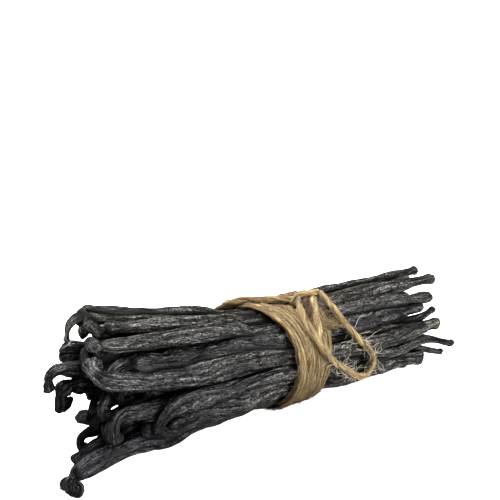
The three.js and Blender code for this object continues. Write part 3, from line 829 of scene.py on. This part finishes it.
def lying_fibres(name, line, count, seed, pressed=False):
    """Fibres that lie along a strand, drifting a little round it and just clear of it."""
    dice = np.random.default_rng(seed)
    rings, side, other, wide, high = strand_frame(line, pressed)
    t = np.linspace(0, 1, 8)
    length = dice.uniform(0.003, 0.009, count) / STRAND_STEP
    place = dice.uniform(0, len(rings) - 2 - length)[:, None] + length[:, None] * t
    k = place.astype(int)
    part = (place - k)[..., None]
    half_turns = (0.06, 0.94) if pressed else (0, 2)
    angle = dice.uniform(*half_turns, count)[:, None] * math.pi
    angle = angle + dice.normal(0, 0.35, count)[:, None] * t
    angle = angle + dice.normal(0, 0.1, (count, len(t)))
    clear = dice.uniform(0, 0.0003, count)[:, None] * np.sin(math.pi * t) + 0.00005
    loose = (dice.random(count) < 0.25)[:, None]
    clear = clear + loose * dice.uniform(0, 0.0009, count)[:, None] * t**2
    across = side[k] * ((wide[k] + clear) * np.cos(angle))[..., None]
    through = other[k] * ((0.95 * high[k] + clear) * np.sin(angle))[..., None]
    paths = rings[k] * (1 - part) + rings[k + 1] * part + across + through
    return fibre_tubes(name, paths, dice.uniform(0.00003, 0.00007, count),
                       dice.uniform(0.25, 0.9, count))


def curly_paths(dice, start, way, across, length, curl):
    """Paths that set out one way and curl over a plane."""
    count, steps = len(start), 9
    t = np.linspace(0, 1, steps)
    angle = dice.normal(0, curl, count)[:, None] * t
    waves, phase = dice.uniform(4, 9, count), dice.uniform(0, 6, count)
    angle = angle + 0.6 * curl * np.sin(waves[:, None] * t + phase[:, None])
    step = (length / steps)[:, None, None] * (
        way[:, None] * np.cos(angle)[..., None] + across[:, None] * np.sin(angle)[..., None])
    paths = start[:, None] + np.concatenate([np.zeros((count, 1, 3)), np.cumsum(step, 1)], 1)
    paths[..., 2] = np.maximum(paths[..., 2], 0.0001)
    return paths


def fuzz_along(name, line, count, seed, lengths, lights_and_tones,
               thin=(0.00003, 0.00006), curl=0.7, shares=(0, 1)):
    """Fibres that stand out from a part of a strand and curl."""
    dice = np.random.default_rng(seed)
    line = spaced(line, STRAND_STEP)
    heading, side, other = frames_along(line)
    root = (dice.uniform(*shares, count) * (len(line) - 2)).astype(int) + 1
    a = dice.uniform(0, 2 * math.pi, count)
    out = side[root] * np.cos(a)[:, None] + other[root] * np.sin(a)[:, None]
    along = heading[root] * dice.choice([-1, 1], count)[:, None]
    lean = dice.uniform(0.15, 0.9, count)[:, None]
    way = unit(along * (1 - lean) + out * lean)
    across = unit(np.cross(way, dice.normal(0, 1, (count, 3))))
    length = lengths[0] + (lengths[1] - lengths[0]) * dice.random(count) ** 2
    paths = curly_paths(dice, line[root] + out * 0.8 * TWINE_HALF_WIDTH, way, across, length, curl)
    return fibre_tubes(name, paths, dice.uniform(*thin, count), dice.uniform(*lights_and_tones, count))


def tangle(name, corners, count, seed, lengths, lights_and_tones, spread=3.2, curl=1.2):
    """Loose fibres over a patch with four corners, within an angle of its first side."""
    dice = np.random.default_rng(seed)
    a, b, c, d = (np.array(corner) / 1000 for corner in corners)
    u, v = dice.random((2, count, 1))
    start = (a * (1 - u) + b * u) * (1 - v) + (d * (1 - u) + c * u) * v
    out = unit(np.cross(b - a, d - a))
    start = start + out * dice.uniform(-0.0008, 0.0008, count)[:, None]
    angle = dice.uniform(-spread, spread, count)[:, None]
    level = unit(b - a)
    way = level * np.cos(angle) + np.cross(out, level) * np.sin(angle)
    across = np.cross(way, out)
    length = dice.uniform(*lengths, count)
    paths = curly_paths(dice, start - way * length[:, None] / 2, way, across, length, curl)
    half_widths = dice.uniform(0.00004, 0.00008, count)
    return fibre_tubes(name, paths, half_widths, dice.uniform(*lights_and_tones, count))


# ---- materials ----
def shade_nodes(name):
    """A new material, its nodes, and its shader's inputs."""
    material = bpy.data.materials.new(name)
    material.use_nodes = True
    tree = material.node_tree
    return material, tree, tree.nodes["Principled BSDF"].inputs


def feed(tree, sockets, inputs):
    """Links or sets some of a node's inputs."""
    for key, value in inputs.items():
        if isinstance(value, bpy.types.NodeSocket):
            tree.links.new(value, sockets[key])
        else:
            sockets[key].default_value = value


def node(tree, kind, inputs, **settings):
    """A new node with its settings and inputs."""
    made = tree.nodes.new(kind)
    for key, value in settings.items():
        setattr(made, key, value)
    feed(tree, made.inputs, inputs)
    return made


def colour_of(value):
    """A colour for a socket: a plain number is a grey."""
    return (*value, 1) if isinstance(value, tuple) else (value, value, value, 1)


def colour_ramp(tree, value, *stops):
    ramp = node(tree, "ShaderNodeValToRGB", {"Fac": value})
    elements = ramp.color_ramp.elements
    elements.remove(elements[1])
    elements[0].position, elements[0].color = stops[0][0], colour_of(stops[0][1])
    for place, colour in stops[1:]:
        elements.new(place).color = colour_of(colour)
    return ramp.outputs["Color"]


def math_node(tree, operation, a, b, c=0.5):
    return node(tree, "ShaderNodeMath", {0: a, 1: b, 2: c}, operation=operation).outputs[0]


def read(tree, name, output="Fac"):
    """A value that the mesh holds for each point."""
    return node(tree, "ShaderNodeAttribute", {}, attribute_name=name).outputs[output]


def multiplied(tree, colour, *others):
    for other in others:
        colour = node(tree, "ShaderNodeMix", {0: 1.0, 6: colour, 7: other},
                      data_type="RGBA", blend_type="MULTIPLY").outputs[2]
    return colour


def streaks_group():
    """Streaks drawn out along a pod or a ply: broad ones, fine ones and shorter specks."""
    group = bpy.data.node_groups.new("lengthways_streaks", "ShaderNodeTree")
    sockets = [("INPUT", "Vector", "NodeSocketVector")]
    sockets += [("INPUT", name, "NodeSocketFloat") for name in ("Stretch", "Scale")]
    sockets += [("OUTPUT", name, "NodeSocketFloat") for name in ("Broad", "Fine", "Specks")]
    for in_out, name, kind in sockets:
        group.interface.new_socket(name, in_out=in_out, socket_type=kind)
    start = group.nodes.new("NodeGroupInput").outputs
    end = group.nodes.new("NodeGroupOutput").inputs
    for name, times, detail, power in (("Broad", 1, 2, 1), ("Fine", 4, 2, 1),
                                       ("Specks", 3.6, 3, 0.35)):
        length = math_node(group, "POWER", start["Stretch"], power)
        squeeze = node(group, "ShaderNodeCombineXYZ", {"X": length, "Y": 1, "Z": 1})
        drawn = node(group, "ShaderNodeVectorMath",
                     {0: start["Vector"], 1: squeeze.outputs[0]}, operation="MULTIPLY")
        noise = node(group, "ShaderNodeTexNoise", {
            "Vector": drawn.outputs[0], "Detail": detail,
            "Scale": math_node(group, "MULTIPLY", start["Scale"], times)})
        group.links.new(noise.outputs["Fac"], end[name])
    return group


def drawn_streaks(tree, streaks, stretch, scale):
    """The streaks' outputs on one material's grain."""
    return node(tree, "ShaderNodeGroup", {
        "Vector": read(tree, "grain", "Vector"), "Stretch": stretch, "Scale": scale,
    }, node_tree=streaks).outputs


def raised(tree, drawn, shares, strength, distance):
    """A bump from the streaks, each kind by its share."""
    height = 0
    for name, share in shares.items():
        height = math_node(tree, "MULTIPLY_ADD", drawn[name], share, height)
    inputs = {"Height": height, "Strength": strength, "Distance": distance}
    return node(tree, "ShaderNodeBump", inputs).outputs[0]


def pod_skin(streaks):
    """Cured pod skin: near black, oily, wrinkled lengthways, with painted light: paler on its ribs
    as painted sheen, lighter on top as painted light, and darker in its grooves, where pods touch
    and low at the stalk ends as painted shade.
    """
    material, tree, shader = shade_nodes("pod_skin")
    drawn = drawn_streaks(tree, streaks, 0.1, 700)
    crevice_shade = read(tree, "crevice_shade")
    colour = multiplied(
        tree,
        # Painted sheen on the ribs and painted shade in the grooves.
        colour_ramp(tree, read(tree, "crest_light"), (0.24, 0.0005), (0.42, 0.005), (0.56, 0.027),
                    (0.7, 0.062), (0.95, 0.105)),
        # Painted shade where the pods touch.
        colour_ramp(tree, crevice_shade, (0.05, 1), (0.35, 0.6), (0.65, 0.15), (0.9, 0.02)),
        # Painted light on top and at the tips, and painted shade with a cool painted reflection
        # low at the stalk ends.
        colour_ramp(tree, read(tree, "light_and_tone"), (0, (0.17, 0.185, 0.22)), (0.4, (0.36, 0.38, 0.42)),
                    (0.75, (0.74, 0.73, 0.7)), (1, (1.25, 1.18, 0.98))),
        colour_ramp(tree, drawn["Fine"], (0.36, 0.12), (0.5, 0.8), (0.6, 1.6), (0.7, 2.6)),
        colour_ramp(tree, drawn["Specks"], (0.38, 0.2), (0.5, 0.85), (0.58, 1.45), (0.66, 2.2)))
    oily = node(tree, "ShaderNodeMapRange", {
        "Value": drawn["Specks"], "From Min": 0.38, "From Max": 0.62,
        "To Min": 0.24, "To Max": 0.5}).outputs[0]
    feed(tree, shader, {
        "Base Color": colour, "Roughness": math_node(tree, "MULTIPLY_ADD", crevice_shade, 0.5, oily),
        "Normal": raised(tree, drawn, {"Broad": 0.5, "Fine": 0.5, "Specks": 0.3}, 1, 0.0012)})
    return material


def jute(streaks):
    """Golden jute, painted darker between its fibres, where the plies meet, on its side towards
    the pods and where it lies in shade: all painted shade.
    """
    material, tree, shader = shade_nodes("jute")
    drawn = drawn_streaks(tree, streaks, 0.08, 3800)
    colour = multiplied(
        tree,
        # Painted shade between the fibres, where the plies meet and on the side towards the pods.
        colour_ramp(tree, read(tree, "crest_light"), (0.2, (0.03, 0.018, 0.008)),
                    (0.45, (0.15, 0.105, 0.049)), (0.8, (0.36, 0.28, 0.15))),
        colour_ramp(tree, drawn["Broad"], (0.3, (0.42, 0.36, 0.28)), (0.5, 1),
                    (0.7, (1.45, 1.45, 1.5))),
        # Painted shade: low values darken the jute where it lies in shade.
        colour_ramp(tree, read(tree, "light_and_tone"), (0, (0.42, 0.32, 0.34)),
                    (0.35, (0.85, 0.82, 0.76)), (1, (1.15, 1.15, 1.1))))
    feed(tree, shader, {
        "Base Color": colour, "Roughness": 0.85, "Sheen Weight": 0.25,
        "Normal": raised(tree, drawn, {"Broad": 1, "Fine": 0.6}, 0.8, 0.00015)})
    return material


def jute_fibre():
    """Loose fibres, from brown in the shade to nearly white."""
    material, tree, shader = shade_nodes("jute_fibre")
    colour = colour_ramp(
        tree, read(tree, "light_and_tone"), (0, (0.07, 0.048, 0.042)), (0.25, (0.17, 0.115, 0.075)),
        (0.5, (0.33, 0.25, 0.135)), (0.8, (0.46, 0.37, 0.22)), (1, (0.62, 0.58, 0.52)))
    feed(tree, shader, {"Base Color": colour, "Roughness": 0.7})
    return material


def pale_floor():
    """White to the camera, and greyer to the pods, so that it throws little light up at them."""
    material, tree, shader = shade_nodes("floor")
    seen = node(tree, "ShaderNodeLightPath", {}).outputs["Is Camera Ray"]
    colour = node(tree, "ShaderNodeMix", {0: seen, 6: colour_of(0.35), 7: colour_of(0.9)},
                  data_type="RGBA").outputs[2]
    feed(tree, shader, {
        "Base Color": colour, "Roughness": 0.9, "Emission Color": colour_of(1),
        "Emission Strength": math_node(tree, "MULTIPLY", seen, 0.8)})
    return material


# ---- the room ----
FLOOR_SIZE = 40  # so wide that its edge lies beyond every view
WORLD_LIGHT = 0.12
LIT_POINT = Vector((0, 0, 0.02))
# Soft round lights: where each one is, how wide, and its watts.
LIGHTS = {
    "ceiling": ((0, 0.3, 2.0), 3.0, 14),
    "softbox_top": ((-0.15, 0.25, 0.7), 0.25, 7),
    "softbox_left": ((-0.45, -0.5, 0.7), 0.2, 3),
    "softbox_front": ((0.4, -0.85, 0.1), 0.6, 9),
    "softbox_low": ((0.2, -0.6, 0.06), 0.1, 1.2),
}


def make_room():
    bpy.ops.mesh.primitive_plane_add(size=FLOOR_SIZE)
    floor = bpy.context.object
    floor.name = "floor"
    floor.data.materials.append(pale_floor())
    scene = bpy.context.scene
    for name, (at, size, watts) in LIGHTS.items():
        data = bpy.data.lights.new(name, "AREA")
        data.shape, data.size, data.energy = "DISK", size, watts
        lamp = in_scene(name, data)
        lamp.location = at
        lamp.rotation_euler = (LIT_POINT - Vector(at)).to_track_quat("-Z", "Y").to_euler()
    world = bpy.data.worlds.new("room")
    world.use_nodes = True
    tree = world.node_tree
    background = {"Color": colour_of(1), "Strength": WORLD_LIGHT}
    feed(tree, tree.nodes["Background"].inputs, background)
    scene.world = world
    scene.view_settings.view_transform = "Standard"
    scene.view_settings.look = "High Contrast"


def dress(piece, material, slot, *replaced):
    piece.data.materials.append(material)
    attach(piece, "root")
    if replaced:
        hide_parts(*replaced)


# ---- putting it together ----
make_camera()
loop_line = laid(BOW_LOOP) - MIDDLE
loop_length = lengths_along(loop_line)[-1]
# The loop's last part is painted darker, as painted shade from its first.
bow = jute_strand("twine_bow", loop_line, 41,
                  light_and_tone=lambda along: np.clip((loop_length - along) / 0.016, 0.15, 1))

streaks = streaks_group()
skin, cord_jute, fibre = pod_skin(streaks), jute(streaks), jute_fibre()
lines = pod_lines()
for pod in make_pods(lines):
    dress(pod, skin, "pod_skin", "pods")

# The winding stands off the pods at the front, over a bed of twine painted dark as painted shade,
# which lies on them.
winding_line = winding_point(np.linspace(*WINDING, 1200))
bed_line = drawn_tight(winding_line, lines)
front = np.clip(1.6 * np.cos(angle_up(winding_line)), 0, 1)[:, None]
winding_line = winding_line * front + bed_line * (1 - front)
winding = jute_strand("twine_winding", winding_line, 42, pressed=True)
bed = jute_strand("twine_winding_bed", bed_line, 43, light_and_tone=0.1)
top_pass = jute_strand("twine_top_pass", laid(TOP_PASS), 44)
front_pass = jute_strand("twine_front_pass", laid(FRONT_PASS), 45)
tied = joined("twine_knot_tied", [
    jute_strand(f"twine_knot_{n}", laid(strand), 46 + n, light_and_tone=light_and_tone)
    for n, (strand, light_and_tone) in enumerate(zip(KNOT_STRANDS, KNOT_SHADE_TONES))])
dress(bow, cord_jute, "jute", "twine_loop")
dress(winding, cord_jute, "jute", "twine_wraps")
dress(tied, cord_jute, "jute", "twine_knot")
for piece in (bed, top_pass, front_pass):
    dress(piece, cord_jute, "jute")
# Fibres: where they are, how many, their seed, and for loose ones their lengths and tones.
for piece in (
    lying_fibres("winding_fibres", winding_line, 3200, 51, pressed=True),
    lying_fibres("bow_fibres", loop_line, 420, 52),
    lying_fibres("top_pass_fibres", laid(TOP_PASS), 160, 53),
    lying_fibres("front_pass_fibres", laid(FRONT_PASS), 300, 54),
    fuzz_along("winding_fuzz", winding_line, 900, 55, (0.0008, 0.0035), (0.3, 1.0)),
    fuzz_along("bow_fuzz", loop_line, 160, 56, (0.0008, 0.003), (0.3, 1.0)),
    fuzz_along("bow_hairs", loop_line, 110, 57, (0.004, 0.012), (0.9, 1.0),
               thin=(0.00005, 0.00009), curl=0.9, shares=(0.2, 0.68)),
    # Fibres in the knot's and the bow's shade: their low tones are painted shade.
    tangle("knot_shade_fibres", KNOT_SHADE, 120, 58, (0.002, 0.005), (0.0, 0.35)),
    tangle("bow_shade_fibres", BOW_SHADE, 80, 59, (0.002, 0.005), (0.0, 0.45)),
    tangle("bow_tuft", BOW_TUFT, 110, 60, (0.003, 0.008), (0.15, 0.75), spread=0.45, curl=0.6),
):
    dress(piece, fibre, "jute")
make_room()
